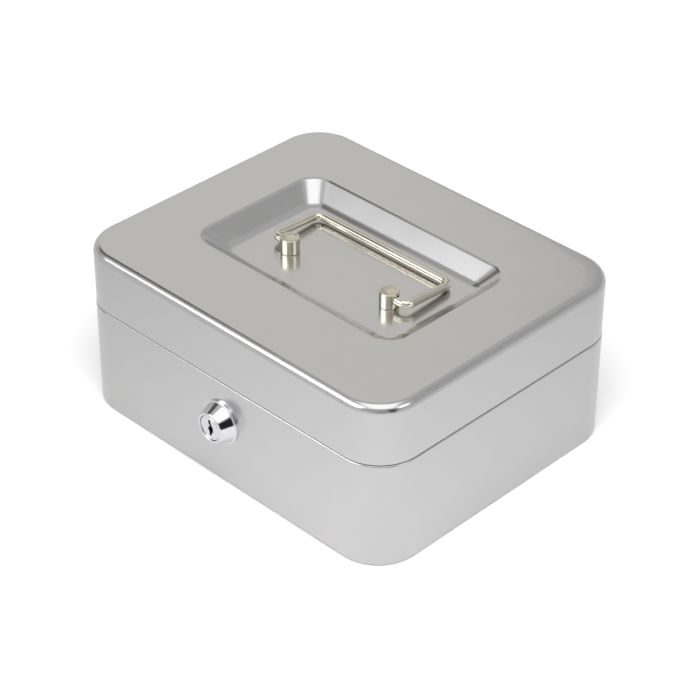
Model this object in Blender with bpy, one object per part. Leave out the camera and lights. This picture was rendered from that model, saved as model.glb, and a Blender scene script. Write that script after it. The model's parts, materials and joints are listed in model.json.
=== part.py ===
"""A lockable steel cash box with a hinged lid, folding wire handle, cam lock and lift-out coin tray.

Units are metres, +Z is up, +X runs to the right along the front, and the lock is on the -Y side.
The origin is the centre of the underside of the box body.
"""

import math

import bmesh
import bpy
from mathutils import Matrix, Vector

# Driving dimensions of the case
BOX_WIDTH = 0.200
BOX_DEPTH = 0.162
BOX_HEIGHT = 0.087
SEAM_HEIGHT = 0.056
CORNER_RADIUS = 0.022
SHEET = 0.001
FIT_GAP = 0.0003
CORNER_STEPS = 8
BASE_EDGE_RADIUS = 0.0015

# The joggled rim of the body that stands inside the lid
LEDGE_DROP = 0.0004
RIM_INSET = 0.0016
RIM_TOP = 0.063

# Lid and its hand recess
LID_INSET = 0.0002
LID_EDGE_RADIUS = 0.004
RECESS_WIDTH = 0.1294
RECESS_DEPTH = 0.081
RECESS_DROP = 0.0095
RECESS_SLOPE = 0.0103
RECESS_CENTRE_Y = 0.002
RECESS_CORNER_RADIUS = 0.0115
RECESS_FOLD_RADIUS = 0.0014

# Folding wire handle on its two posts
POST_SPREAD = 0.0646
POST_Y = -0.0055
POST_RADIUS = 0.0047
POST_HEIGHT = 0.008
WIRE_RADIUS = 0.0020
WIRE_BORE_RADIUS = 0.0022
WIRE_BEND_RADIUS = 0.0040
WIRE_END = 0.0020
PIVOT_HEIGHT = 0.082
HANDLE_SPREAD = 0.0860
HANDLE_REACH = 0.0296
HANDLE_DROOP = 0.0018
POST_TOP_EDGE = 0.0005
POST_DISH = 0.0006
SCREW_RADIUS = 0.00120
SCREW_BORE_RADIUS = 0.00145
SCREW_BORE_LENGTH = 0.0088
TIP_GAP = 0.0001
POST_SCREW_REACH = 0.0056
POST_SCREW_HEAD_RADIUS = 0.0025
POST_SCREW_HEAD_HEIGHT = 0.0017
WASHER_RADIUS = 0.0035
WASHER_SHEET = 0.0006

# Rear hinges
HINGE_SPREAD = 0.110
HINGE_WIDTH = 0.040
HINGE_AXIS_OUT = 0.001
HINGE_AXIS_HEIGHT = 0.0558
LEAF_SHEET = 0.0008
BARREL_RADIUS = 0.0022
PIN_RADIUS = 0.00105
PIN_BORE_RADIUS = 0.00135
PIN_HEAD_RADIUS = 0.0017
PIN_HEAD_HEIGHT = 0.0006
PIN_HEAD_EDGE = 0.0004
MIDDLE_KNUCKLE = 0.014
NOTCH_SIDE_GAP = 0.0014
NOTCH_FOOT_GAP = 0.0004
BODY_LEAF_FOOT = 0.040
LID_LEAF_HEAD = 0.074
RIVET_SPREAD = 0.024
BODY_RIVET_HEIGHT = 0.046
LID_RIVET_HEIGHT = 0.067
RIVET_RADIUS = 0.0010
RIVET_HOLE_RADIUS = 0.0013
RIVET_HEAD_RADIUS = 0.0024
RIVET_HEAD_HEIGHT = 0.0010
RIVET_CLENCH_RADIUS = 0.0018
RIVET_CLENCH_HEIGHT = 0.0008

# Cam lock in the middle of the front wall
LOCK_HEIGHT = 0.0342
BEZEL_FOOT_RADIUS = 0.0110
BEZEL_FACE_RADIUS = 0.0078
BEZEL_REACH = 0.0076
BEZEL_FLANGE = 0.0010
BEZEL_RIM_EDGE = 0.0007
BARREL_OUTER_RADIUS = 0.0074
BARREL_HOLE_RADIUS = 0.0077
BARREL_LENGTH = 0.0090
PLUG_HEAD_RADIUS = 0.0062
PLUG_RADIUS = 0.0054
PLUG_SINK = 0.0008
PLUG_HEAD_HEIGHT = 0.0015
PLUG_SQUARE = 0.0060
KEYWAY_LENGTH = 0.0120
WAFER_COUNT = 4
WAFER_PITCH = 0.0024
WAFER_SHEET = 0.0009
WAFER_WIDTH = 0.0056
WAFER_HEIGHT = 0.0088
WAFER_SLOT_HEIGHT = 0.0140
WAFER_START = 0.0034
WAFER_STAGGER = 0.0004
CAM_SHEET = 0.0015
CAM_REACH = 0.017
CAM_HUB_RADIUS = 0.0062
CAM_TIP_RADIUS = 0.0028
CAM_NOSE_RADIUS = 0.0015
CAM_NOSE_REACH = 0.0035
CAM_SCREW_HEAD_RADIUS = 0.0042
CAM_SCREW_HEAD_HEIGHT = 0.0018
CAM_SCREW_LENGTH = 0.005
CAM_SCREW_SLOT = 0.0044
CAM_END_PLAY = 0.0002
NUT_FLATS = 0.019
NUT_THICKNESS = 0.003

# Strike hanging from the lid, which the cam's nose catches
STRIKE_SHEET = 0.0012
STRIKE_FLANGE_WIDTH = 0.018
STRIKE_FLANGE_HEAD = 0.080
STRIKE_WEB_HEIGHT = 0.066
TONGUE_LEFT = -0.005
TONGUE_RIGHT = 0.007
TONGUE_FOOT = 0.0459
NOTCH_RIGHT = 0.0026
NOTCH_FOOT = 0.0486
NOTCH_HEAD = 0.0540
TONGUE_GAP = 0.0025

# Lift-out coin tray
TRAY_WIDTH = 0.1908
TRAY_FRONT = -0.064
TRAY_BACK = 0.0748
TRAY_FOOT = 0.032
TRAY_CORNER_RADIUS = 0.013
TRAY_WALL = 0.0018
TRAY_FLANGE = 0.0026
TRAY_FLANGE_SHEET = 0.0012
TRAY_DIVIDER = 0.0024
TRAY_DIVIDER_Y = 0.0022
CUP_COUNT = 4
CUP_CORNER_RADIUS = 0.005
CUP_FOOT_RADIUS = 0.004
CUP_CORNER_STEPS = 4
TRAY_FOOT_EDGE = 0.0006
TRAY_RIM_PLAY = 0.0008
GRIP_WIDTH = 0.044
GRIP_TOP = 0.0738
GRIP_CORNER_RADIUS = 0.006
GRIP_ROOT = 0.004
GRIP_STEP = 0.0002
GRIP_HOLE_RADIUS = 0.0024
GRIP_HOLE_SPREAD = 0.020

# Room that the cutters take beyond the faces they cut
CUTTER_MARGIN = 0.001
DRILL_LENGTH = 0.008

HALF_WIDTH = BOX_WIDTH / 2
HALF_DEPTH = BOX_DEPTH / 2
FRONT_Y = -HALF_DEPTH
BACK_Y = HALF_DEPTH
LID_FOOT = SEAM_HEIGHT
LEDGE_HEIGHT = SEAM_HEIGHT - LEDGE_DROP
RECESS_FLOOR = BOX_HEIGHT - RECESS_DROP
HINGE_AXIS = Vector((0, BACK_Y + HINGE_AXIS_OUT, HINGE_AXIS_HEIGHT))
HANDLE_AXIS = Vector((0, POST_Y, PIVOT_HEIGHT))
LOCK_AXIS = Vector((0, FRONT_Y, LOCK_HEIGHT))
CAM_FRONT_Y = FRONT_Y + SHEET + BARREL_LENGTH + FIT_GAP
CAM_BACK_Y = CAM_FRONT_Y + CAM_SHEET
RIM_SEAT = RIM_TOP + FIT_GAP
HINGE_MIDDLES = {"left": -HINGE_SPREAD / 2, "right": HINGE_SPREAD / 2}


# Scene helpers

def clear_scene():
    for old in list(bpy.data.objects):
        bpy.data.objects.remove(old, do_unlink=True)


def material(name, colour, metallic, roughness):
    made = bpy.data.materials.new(name)
    made.use_nodes = True
    shader = made.node_tree.nodes["Principled BSDF"]
    shader.inputs["Base Color"].default_value = (*colour, 1.0)
    shader.inputs["Metallic"].default_value = metallic
    shader.inputs["Roughness"].default_value = roughness
    made.diffuse_color = (*colour, 1.0)
    return made


def object_from(name, bm, surface=None, smooth_below=math.radians(35)):
    """Makes an object from a closed bmesh, with its faces turned outwards."""
    bmesh.ops.remove_doubles(bm, verts=bm.verts, dist=1e-6)
    bmesh.ops.recalc_face_normals(bm, faces=bm.faces)
    mesh = bpy.data.meshes.new(name)
    bm.to_mesh(mesh)
    bm.free()
    mesh.shade_smooth()
    mesh.set_sharp_from_angle(angle=smooth_below)
    if surface:
        mesh.materials.append(surface)
    made = bpy.data.objects.new(name, mesh)
    bpy.context.scene.collection.objects.link(made)
    return made


def as_tool(made):
    """Marks an object as a cutter, which is not a piece of the box."""
    made.hide_render = True
    made.display_type = "WIRE"
    return made


def combine(made, tool, operation="DIFFERENCE"):
    step = made.modifiers.new(f"{operation.lower()} {tool.name}", "BOOLEAN")
    step.object = tool
    step.operation = operation
    step.solver = "EXACT"


def axis_empty(name, place):
    made = bpy.data.objects.new(name, None)
    made.location = place
    made.empty_display_size = 0.01
    bpy.context.scene.collection.objects.link(made)
    return made


def hang(pieces, axis):
    """Parents pieces to an axis, with their origins on it."""
    for piece in pieces:
        piece.data.transform(Matrix.Translation(-axis.location))
        piece.parent = axis


# Shape helpers

def rounded_outline(half_x, half_y, radius, centre_y=0.0, steps=CORNER_STEPS):
    """Points of a rounded rectangle, anticlockwise from its right-hand side."""
    points = []
    corners = ((1, 1), (-1, 1), (-1, -1), (1, -1))
    for quarter, (side_x, side_y) in enumerate(corners):
        x = side_x * (half_x - radius)
        y = centre_y + side_y * (half_y - radius)
        for step in range(steps + 1):
            angle = math.pi / 2 * (quarter + step / steps)
            points.append((x + radius * math.cos(angle), y + radius * math.sin(angle)))
    return points


def stacked(name, levels, surface=None):
    """Skins a stack of (outline, height) levels and closes both ends with a flat face."""
    bm = bmesh.new()
    rings = [[bm.verts.new((x, y, height)) for x, y in outline] for outline, height in levels]
    for lower, upper in zip(rings, rings[1:]):
        for index in range(len(lower)):
            after = (index + 1) % len(lower)
            bm.faces.new((lower[index], lower[after], upper[after], upper[index]))
    bm.faces.new(rings[0])
    bm.faces.new(rings[-1])
    return object_from(name, bm, surface)


def turned(name, profile, centre, axis, surface=None, steps=24):
    """Turns (radius, distance along the axis) points into a round piece about a principal axis."""
    bm = bmesh.new()
    across = Vector((0, 0, 1)) if axis.z == 0 else Vector((1, 0, 0))
    verts = [bm.verts.new(centre + across * radius + axis * along) for radius, along in profile]
    edges = [bm.edges.new(pair) for pair in zip(verts, verts[1:])]
    if profile[0][0] > 0:
        edges.append(bm.edges.new((verts[-1], verts[0])))
    bmesh.ops.spin(bm, geom=verts + edges, cent=centre, axis=axis, angle=math.tau,
                   steps=steps, use_merge=True)
    return object_from(name, bm, surface)


def extruded(name, outline, along, start, end, surface=None):
    """Extrudes an outline along X, Y or Z from start to end; the outline lies in the other two axes."""
    bm = bmesh.new()
    first = {"X": lambda u, v: (start, u, v), "Y": lambda u, v: (u, start, v),
             "Z": lambda u, v: (u, v, start)}[along]
    face = bm.faces.new([bm.verts.new(first(u, v)) for u, v in outline])
    grown = bmesh.ops.extrude_face_region(bm, geom=[face])["geom"]
    shift = {"X": Vector((1, 0, 0)), "Y": Vector((0, 1, 0)), "Z": Vector((0, 0, 1))}[along]
    bmesh.ops.translate(bm, verts=[v for v in grown if isinstance(v, bmesh.types.BMVert)],
                        vec=shift * (end - start))
    return object_from(name, bm, surface)


def block(name, low, high, surface=None):
    bm = bmesh.new()
    bmesh.ops.create_cube(bm, size=1)
    low, high = Vector(low), Vector(high)
    bmesh.ops.scale(bm, verts=bm.verts, vec=high - low)
    bmesh.ops.translate(bm, verts=bm.verts, vec=(low + high) / 2)
    return object_from(name, bm, surface)


def drills(name, places, axis, radius, length, steps=16):
    """One cutter made of round bars of a given length, centred on the given places."""
    bm = bmesh.new()
    turn = Vector((0, 0, 1)).rotation_difference(axis).to_matrix().to_4x4()
    for place in places:
        bmesh.ops.create_cone(bm, segments=steps, radius1=radius, radius2=radius, depth=length,
                              cap_ends=True, matrix=Matrix.Translation(place) @ turn)
    return as_tool(object_from(name, bm))


def arc(centre, radius, start, end, steps):
    """Points on an arc, from one angle in degrees to another."""
    points = []
    for step in range(steps + 1):
        angle = math.radians(start + (end - start) * step / steps)
        points.append((centre[0] + radius * math.cos(angle), centre[1] + radius * math.sin(angle)))
    return points


def case_outline(inset):
    return rounded_outline(HALF_WIDTH - inset, HALF_DEPTH - inset, CORNER_RADIUS - inset)


# Case

def make_box_body(surface):
    rounding = [
        (case_outline(across), up)
        for across, up in arc((BASE_EDGE_RADIUS, BASE_EDGE_RADIUS), BASE_EDGE_RADIUS, 270, 180, 3)
    ]
    ledge_under = LEDGE_HEIGHT - SHEET
    rim_inner = RIM_INSET + SHEET
    levels = rounding + [
        (case_outline(0), LEDGE_HEIGHT),
        (case_outline(RIM_INSET), LEDGE_HEIGHT),
        (case_outline(RIM_INSET), RIM_TOP),
        (case_outline(rim_inner), RIM_TOP),
        (case_outline(rim_inner), ledge_under),
        (case_outline(SHEET), ledge_under),
        (case_outline(SHEET), SHEET),
    ]
    return stacked("box_body", levels, surface)


def recess_outline(inset):
    return rounded_outline(RECESS_WIDTH / 2 - inset, RECESS_DEPTH / 2 - inset,
                           RECESS_CORNER_RADIUS - inset * 0.5, RECESS_CENTRE_Y)


def make_lid_shell(surface):
    """Profile from the middle of the recess floor, out over the top, down the wall and back inside."""
    fold = RECESS_FOLD_RADIUS
    slope = math.atan2(RECESS_DROP, RECESS_SLOPE)
    reach = fold * math.tan(slope / 2)
    thicker = SHEET * math.tan(slope / 2)
    cut_x = reach * math.cos(slope)
    cut_z = reach * math.sin(slope)
    wall = LID_INSET
    inner = LID_INSET + SHEET
    top = BOX_HEIGHT
    ceiling = BOX_HEIGHT - SHEET
    edge = LID_EDGE_RADIUS
    inner_edge = edge - SHEET
    top_side = [
        (recess_outline(RECESS_SLOPE + reach), RECESS_FLOOR),
        (recess_outline(RECESS_SLOPE - cut_x), RECESS_FLOOR + cut_z),
        (recess_outline(cut_x), top - cut_z),
        (recess_outline(-reach), top),
    ]
    shoulder = [
        (case_outline(across), up)
        for across, up in arc((wall + edge, top - edge), edge, 90, 180, 4)
    ]
    inner_shoulder = [
        (case_outline(across), up)
        for across, up in arc((inner + inner_edge, ceiling - inner_edge), inner_edge, 180, 90, 3)
    ]
    under_side = [
        (recess_outline(-thicker - reach), ceiling),
        (recess_outline(cut_x - thicker), ceiling - cut_z),
        (recess_outline(RECESS_SLOPE - cut_x - thicker), RECESS_FLOOR - SHEET + cut_z),
        (recess_outline(RECESS_SLOPE + reach - thicker), RECESS_FLOOR - SHEET),
    ]
    levels = (top_side + shoulder + [(case_outline(wall), LID_FOOT), (case_outline(inner), LID_FOOT)]
              + inner_shoulder + under_side)
    return stacked("lid_shell", levels, surface)


def make_hinge_notches():
    """Cutters for the gaps at the seam in which the hinge barrels turn."""
    half = HINGE_WIDTH / 2 + NOTCH_SIDE_GAP
    low = HINGE_AXIS_HEIGHT - BARREL_RADIUS - NOTCH_FOOT_GAP
    high = HINGE_AXIS_HEIGHT + BARREL_RADIUS + FIT_GAP
    inside = BACK_Y - RIM_INSET - SHEET - CUTTER_MARGIN
    outside = BACK_Y + CUTTER_MARGIN
    body_cuts, lid_cuts = [], []
    for side, middle in HINGE_MIDDLES.items():
        body_cuts.append(as_tool(block(f"body_notch_{side}", (middle - half, inside, low),
                                       (middle + half, outside, RIM_TOP + CUTTER_MARGIN))))
        lid_cuts.append(as_tool(block(f"lid_notch_{side}", (middle - half, inside, LID_FOOT - CUTTER_MARGIN),
                                      (middle + half, outside, high))))
    return body_cuts, lid_cuts


# Hinges

def knuckle(name, left, right):
    return turned(name, [(PIN_BORE_RADIUS, left), (BARREL_RADIUS, left), (BARREL_RADIUS, right),
                         (PIN_BORE_RADIUS, right)], HINGE_AXIS, Vector((1, 0, 0)))


def leaf(name, face_y, strip_z, far_z, knuckles, surface, drill):
    """A hinge leaf: a flat plate inside the wall, and strips out to its knuckles round the pin."""
    left, right = min(k[0] for k in knuckles), max(k[1] for k in knuckles)
    middle = math.copysign(HINGE_SPREAD / 2, left)
    plate_left, plate_right = middle - HINGE_WIDTH / 2, middle + HINGE_WIDTH / 2
    back = face_y - LEAF_SHEET
    inner_z = strip_z + math.copysign(LEAF_SHEET, HINGE_AXIS_HEIGHT - strip_z)
    low, high = sorted((inner_z, far_z))
    plate = block(name, (plate_left, back, low), (plate_right, face_y, high), surface)
    bottom, top = sorted((strip_z, inner_z))
    for index, (start, end) in enumerate(knuckles):
        before, after = start - CUTTER_MARGIN, end + CUTTER_MARGIN
        bore = turned(f"{name}_bore_{index}", [(0, before), (PIN_BORE_RADIUS, before),
                      (PIN_BORE_RADIUS, after), (0, after)], HINGE_AXIS, Vector((1, 0, 0)), steps=16)
        strip = as_tool(block(f"{name}_strip_{index}", (start, back, bottom), (end, HINGE_AXIS.y, top)))
        ring = as_tool(turned(f"{name}_ring_{index}", [(0, start), (BARREL_RADIUS, start),
                       (BARREL_RADIUS, end), (0, end)], HINGE_AXIS, Vector((1, 0, 0)), steps=20))
        combine(plate, strip, "UNION")
        combine(plate, ring, "UNION")
        combine(plate, as_tool(bore))
    combine(plate, drill)
    return plate


def make_hinge(side, middle, surface, drill):
    gap = FIT_GAP
    half, mid = HINGE_WIDTH / 2, MIDDLE_KNUCKLE / 2
    outer = [(middle - half, middle - mid - gap), (middle + mid + gap, middle + half)]
    centre = [(middle - mid, middle + mid)]
    body_leaf = leaf(f"hinge_body_leaf_{side}", BACK_Y - SHEET - gap,
                     HINGE_AXIS_HEIGHT - BARREL_RADIUS, BODY_LEAF_FOOT, outer, surface, drill)
    lid_leaf = leaf(f"hinge_lid_leaf_{side}", BACK_Y - LID_INSET - SHEET - gap,
                    HINGE_AXIS_HEIGHT + BARREL_RADIUS, LID_LEAF_HEAD, centre, surface, drill)
    return body_leaf, lid_leaf


def make_hinge_pin(side, middle, surface):
    under = HINGE_WIDTH / 2 + FIT_GAP
    end = under + PIN_HEAD_HEIGHT
    edge, rim = PIN_HEAD_RADIUS - PIN_HEAD_EDGE, PIN_HEAD_RADIUS
    half_profile = [(0, end), (edge, end), (rim, end - PIN_HEAD_HEIGHT / 2), (rim, under),
                    (PIN_RADIUS, under)]
    profile = [(radius, middle - along) for radius, along in half_profile]
    profile += [(radius, middle + along) for radius, along in reversed(half_profile)]
    return turned(f"hinge_pin_{side}", profile, HINGE_AXIS, Vector((1, 0, 0)), surface, steps=16)


def make_rivet(name, x, z, outside_y, inside_y, surface):
    """A rivet through the rear wall and a leaf: domed head outside, clenched head inside."""
    place = Vector((x, 0, z))
    out, back = outside_y + FIT_GAP, inside_y - FIT_GAP
    dome, clench = RIVET_HEAD_HEIGHT, RIVET_CLENCH_HEIGHT
    profile = [(RIVET_HEAD_RADIUS * math.sin(turn), out + dome * math.cos(turn))
               for turn in (0, math.radians(30), math.radians(60), math.radians(90))]
    profile += [(RIVET_RADIUS, out), (RIVET_RADIUS, back), (RIVET_CLENCH_RADIUS, back),
                (RIVET_CLENCH_RADIUS * 0.9, back - clench * 0.75), (0, back - clench)]
    return turned(name, profile, place, Vector((0, 1, 0)), surface, steps=16)


# Handle

def make_post(side, x, surface):
    low = RECESS_FLOOR + FIT_GAP
    top = RECESS_FLOOR + POST_HEIGHT
    profile = [(0, low), (POST_RADIUS, low), (POST_RADIUS, top - POST_TOP_EDGE),
               (POST_RADIUS - POST_TOP_EDGE, top), (POST_RADIUS * 0.72, top - POST_DISH / 3),
               (0, top - POST_DISH)]
    post = turned(f"handle_post_{side}", profile, Vector((x, POST_Y, 0)), Vector((0, 0, 1)), surface,
                  steps=24)
    outward = math.copysign(1, x)
    wall_left = abs(x) + WIRE_END - FIT_GAP
    length = POST_RADIUS * 2
    bore_place = Vector((outward * (wall_left + length / 2), POST_Y, PIVOT_HEIGHT))
    bore = drills(f"post_wire_bore_{side}", [bore_place], Vector((1, 0, 0)), WIRE_BORE_RADIUS, length)
    thread_middle = RECESS_FLOOR + POST_SCREW_REACH + FIT_GAP + TIP_GAP - SCREW_BORE_LENGTH / 2
    thread = drills(f"post_screw_bore_{side}", [Vector((x, POST_Y, thread_middle))],
                    Vector((0, 0, 1)), SCREW_BORE_RADIUS, SCREW_BORE_LENGTH)
    combine(post, bore)
    combine(post, thread)
    return post


def make_post_washer(side, x, surface):
    top = RECESS_FLOOR - SHEET - FIT_GAP
    hole, foot = SCREW_BORE_RADIUS + TIP_GAP, top - WASHER_SHEET
    profile = [(hole, top), (WASHER_RADIUS, top), (WASHER_RADIUS, foot), (hole, foot)]
    return turned(f"post_washer_{side}", profile, Vector((x, POST_Y, 0)), Vector((0, 0, 1)), surface,
                  steps=20)


def make_post_screw(side, x, surface):
    """A pan-head screw from below, up through the recess floor into the post."""
    seat = RECESS_FLOOR - SHEET - WASHER_SHEET - 2 * FIT_GAP
    foot = seat - POST_SCREW_HEAD_HEIGHT
    tip = RECESS_FLOOR + POST_SCREW_REACH
    head = POST_SCREW_HEAD_RADIUS
    profile = [(0, tip), (SCREW_RADIUS * 0.7, tip), (SCREW_RADIUS, tip - SCREW_RADIUS * 0.4),
               (SCREW_RADIUS, seat), (head, seat), (head, (seat + foot) / 2), (head * 0.76, foot), (0, foot)]
    screw = turned(f"post_screw_{side}", profile, Vector((x, POST_Y, 0)), Vector((0, 0, 1)), surface,
                   steps=20)
    combine(screw, cross_slot(f"post_screw_slot_{side}", Vector((x, POST_Y, foot)), Vector((0, 0, 1))))
    return screw


def cross_slot(name, place, axis, length=0.0030, width=0.0007, depth=0.0009):
    """A cross-shaped cutter for a screw's driving slot, centred on the head's face."""
    bm = bmesh.new()
    half, thin = length / 2, width / 2
    outline = [(half, -thin), (half, thin), (thin, thin), (thin, half), (-thin, half), (-thin, thin),
               (-half, thin), (-half, -thin), (-thin, -thin), (-thin, -half), (thin, -half), (thin, -thin)]
    face = bm.faces.new([bm.verts.new((u, v, -depth)) for u, v in outline])
    grown = bmesh.ops.extrude_face_region(bm, geom=[face])["geom"]
    bmesh.ops.translate(bm, verts=[v for v in grown if isinstance(v, bmesh.types.BMVert)],
                        vec=(0, 0, 2 * depth))
    turn = Vector((0, 0, 1)).rotation_difference(axis).to_matrix().to_4x4()
    bm.transform(Matrix.Translation(place) @ turn)
    return as_tool(object_from(name, bm))


def handle_route():
    """The right half of the wire's centre line, from inside the post to the middle of the bar."""
    arm_x = HANDLE_SPREAD / 2
    bar_y = POST_Y + HANDLE_REACH
    bend = WIRE_BEND_RADIUS
    flat = [(POST_SPREAD / 2 + WIRE_END, POST_Y)]
    flat += arc((arm_x - bend, POST_Y + bend), bend, -90, 0, 5)
    flat += arc((arm_x - bend, bar_y - bend), bend, 0, 90, 5)
    droop = HANDLE_DROOP / HANDLE_REACH
    return [Vector((x, y, PIVOT_HEIGHT - (y - POST_Y) * droop)) for x, y in flat]


def make_carry_handle(surface):
    right = handle_route()
    left = [Vector((-point.x, point.y, point.z)) for point in reversed(right)]
    route = right + left
    curve = bpy.data.curves.new("carry_handle", "CURVE")
    curve.dimensions = "3D"
    curve.bevel_depth = WIRE_RADIUS
    curve.bevel_resolution = 2
    curve.use_fill_caps = True
    spline = curve.splines.new("POLY")
    spline.points.add(len(route) - 1)
    for place, point in zip(spline.points, route):
        place.co = (*(point - HANDLE_AXIS), 1)
    curve.materials.append(surface)
    made = bpy.data.objects.new("carry_handle", curve)
    bpy.context.scene.collection.objects.link(made)
    return made


# Lock

def make_lock_housing(surface):
    """Bezel and barrel in one casting; distances run along +Y from the front wall's outer face."""
    seat = -FIT_GAP
    face = -BEZEL_REACH
    back = SHEET + BARREL_LENGTH
    foot, rim = BEZEL_FOOT_RADIUS, BEZEL_FACE_RADIUS
    counterbore = PLUG_HEAD_RADIUS + FIT_GAP
    bore = PLUG_RADIUS + FIT_GAP
    edge, flange = BEZEL_RIM_EDGE, BEZEL_FLANGE
    shoulder = face + PLUG_SINK + PLUG_HEAD_HEIGHT + FIT_GAP
    profile = [(counterbore, face + FIT_GAP), (counterbore + FIT_GAP, face), (rim - edge, face),
               (rim - edge * 0.3, face + edge * 0.4), (rim, face + edge * 1.3),
               (foot - flange / 2, -flange * 1.2), (foot, -flange), (foot, seat),
               (BARREL_OUTER_RADIUS, seat), (BARREL_OUTER_RADIUS, back), (bore, back), (bore, shoulder),
               (counterbore, shoulder)]
    return turned("lock_housing", profile, LOCK_AXIS, Vector((0, 1, 0)), surface, steps=32)


def make_keyway():
    """A zigzag slot, cut in from the plug's face."""
    outline = [(-0.0012, 0.0042), (0.0002, 0.0042), (0.0004, 0.0016), (0.0013, 0.0002), (0.0013, -0.0014),
               (0.0006, -0.0022), (0.0006, -0.0042), (-0.0007, -0.0042), (-0.0007, -0.0018),
               (0.0001, -0.0010), (0.0001, -0.0002), (-0.0010, 0.0012)]
    outline = [(u, LOCK_HEIGHT + v) for u, v in outline]
    face = FRONT_Y - BEZEL_REACH + PLUG_SINK
    return as_tool(extruded("keyway_cutter", outline, "Y", face - CUTTER_MARGIN, face + KEYWAY_LENGTH))


def wafer_places():
    first = FRONT_Y - BEZEL_REACH + PLUG_SINK + WAFER_START
    return [first + index * WAFER_PITCH for index in range(WAFER_COUNT)]


def make_lock_plug(surface, keyway):
    face = -BEZEL_REACH + PLUG_SINK
    back = SHEET + BARREL_LENGTH
    under = face + PLUG_HEAD_HEIGHT
    profile = [(0, face), (PLUG_HEAD_RADIUS - FIT_GAP, face), (PLUG_HEAD_RADIUS, face + FIT_GAP),
               (PLUG_HEAD_RADIUS, under), (PLUG_RADIUS, under), (PLUG_RADIUS, back), (0, back)]
    plug = turned("lock_plug", profile, LOCK_AXIS, Vector((0, 1, 0)), surface, steps=28)
    half = PLUG_SQUARE / 2
    boss = as_tool(block("plug_boss", (-half, FRONT_Y + back - CUTTER_MARGIN, LOCK_HEIGHT - half),
                         (half, CAM_BACK_Y - CAM_END_PLAY, LOCK_HEIGHT + half)))
    combine(plug, boss, "UNION")
    combine(plug, keyway)
    for index, place in enumerate(wafer_places()):
        thick, wide, tall = WAFER_SHEET / 2 + FIT_GAP, WAFER_WIDTH / 2 + FIT_GAP, WAFER_SLOT_HEIGHT / 2
        slot = block(f"wafer_slot_{index}", (-wide, place - thick, LOCK_HEIGHT - tall),
                     (wide, place + thick, LOCK_HEIGHT + tall))
        combine(plug, as_tool(slot))
    thread_length = CAM_SCREW_LENGTH + 2 * CUTTER_MARGIN
    thread_middle = Vector((0, CAM_BACK_Y + 1.5 * CUTTER_MARGIN - thread_length / 2, LOCK_HEIGHT))
    thread = drills("plug_screw_bore", [thread_middle], Vector((0, 1, 0)), SCREW_BORE_RADIUS, thread_length)
    combine(plug, thread)
    return plug


def make_wafer(index, place, surface):
    """A flat tumbler with the window that the key passes through."""
    half_x, half_z = WAFER_WIDTH / 2, WAFER_HEIGHT / 2
    low, high = place - WAFER_SHEET / 2, place + WAFER_SHEET / 2
    wafer = block(f"lock_wafer_{index + 1}", (-half_x, low, LOCK_HEIGHT - half_z),
                  (half_x, high, LOCK_HEIGHT + half_z), surface)
    middle = LOCK_HEIGHT + WAFER_STAGGER * (index % 3 - 1)
    open_x, open_z = half_x / 2, half_z * 0.68
    window = block(f"wafer_window_{index}", (-open_x, low - CUTTER_MARGIN, middle - open_z),
                   (open_x, high + CUTTER_MARGIN, middle + open_z))
    combine(wafer, as_tool(window))
    return wafer


def make_lock_cam(surface):
    """The arm points to the left when unlocked; its nose points forwards at the tip."""
    hub, tip = CAM_HUB_RADIUS, CAM_TIP_RADIUS
    lean = math.degrees(math.asin((hub - tip) / CAM_REACH))
    outline = arc((0, LOCK_HEIGHT), hub, -90 - lean, 90 + lean, 14)
    outline += arc((-CAM_REACH, LOCK_HEIGHT), tip, 90 + lean, 270 - lean, 8)
    cam = extruded("lock_cam", outline, "Y", CAM_FRONT_Y, CAM_BACK_Y, surface)
    square = PLUG_SQUARE / 2 + FIT_GAP
    hole = block("cam_square", (-square, CAM_FRONT_Y - CUTTER_MARGIN, LOCK_HEIGHT - square),
                 (square, CAM_BACK_Y + CUTTER_MARGIN, LOCK_HEIGHT + square))
    radius, reach, edge = CAM_NOSE_RADIUS, CAM_NOSE_REACH, FIT_GAP
    nose = turned("cam_nose", [(0, -reach), (radius - edge, -reach), (radius, edge - reach),
                  (radius, CAM_SHEET / 2), (0, CAM_SHEET / 2)],
                  Vector((-CAM_REACH, CAM_FRONT_Y, LOCK_HEIGHT)), Vector((0, 1, 0)), steps=16)
    combine(cam, as_tool(hole))
    combine(cam, as_tool(nose), "UNION")
    return cam


def make_cam_screw(surface):
    seat = CAM_BACK_Y + FIT_GAP
    head, tip = seat + CAM_SCREW_HEAD_HEIGHT, seat - CAM_SCREW_LENGTH
    rim, edge = CAM_SCREW_HEAD_RADIUS, CAM_SCREW_HEAD_HEIGHT / 3
    profile = [(0, head), (rim - edge, head), (rim, head - edge), (rim, seat), (SCREW_RADIUS, seat),
               (SCREW_RADIUS, tip), (0, tip)]
    along = Vector((0, 1, 0))
    screw = turned("lock_cam_screw", profile, Vector((0, 0, LOCK_HEIGHT)), along, surface, steps=20)
    slot = cross_slot("cam_screw_slot", Vector((0, head, LOCK_HEIGHT)), along, CAM_SCREW_SLOT)
    combine(screw, slot)
    return screw


def make_lock_nut(surface):
    corner = NUT_FLATS / math.sqrt(3)
    low = FRONT_Y + SHEET + FIT_GAP
    outline = arc((0, LOCK_HEIGHT), corner, 0, 300, 5)
    nut = extruded("lock_nut", outline, "Y", low, low + NUT_THICKNESS, surface)
    bore = drills("nut_bore", [Vector((0, low + NUT_THICKNESS / 2, LOCK_HEIGHT))], Vector((0, 1, 0)),
                  BARREL_HOLE_RADIUS, NUT_THICKNESS + 2 * CUTTER_MARGIN, 32)
    combine(nut, bore)
    return nut


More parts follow.
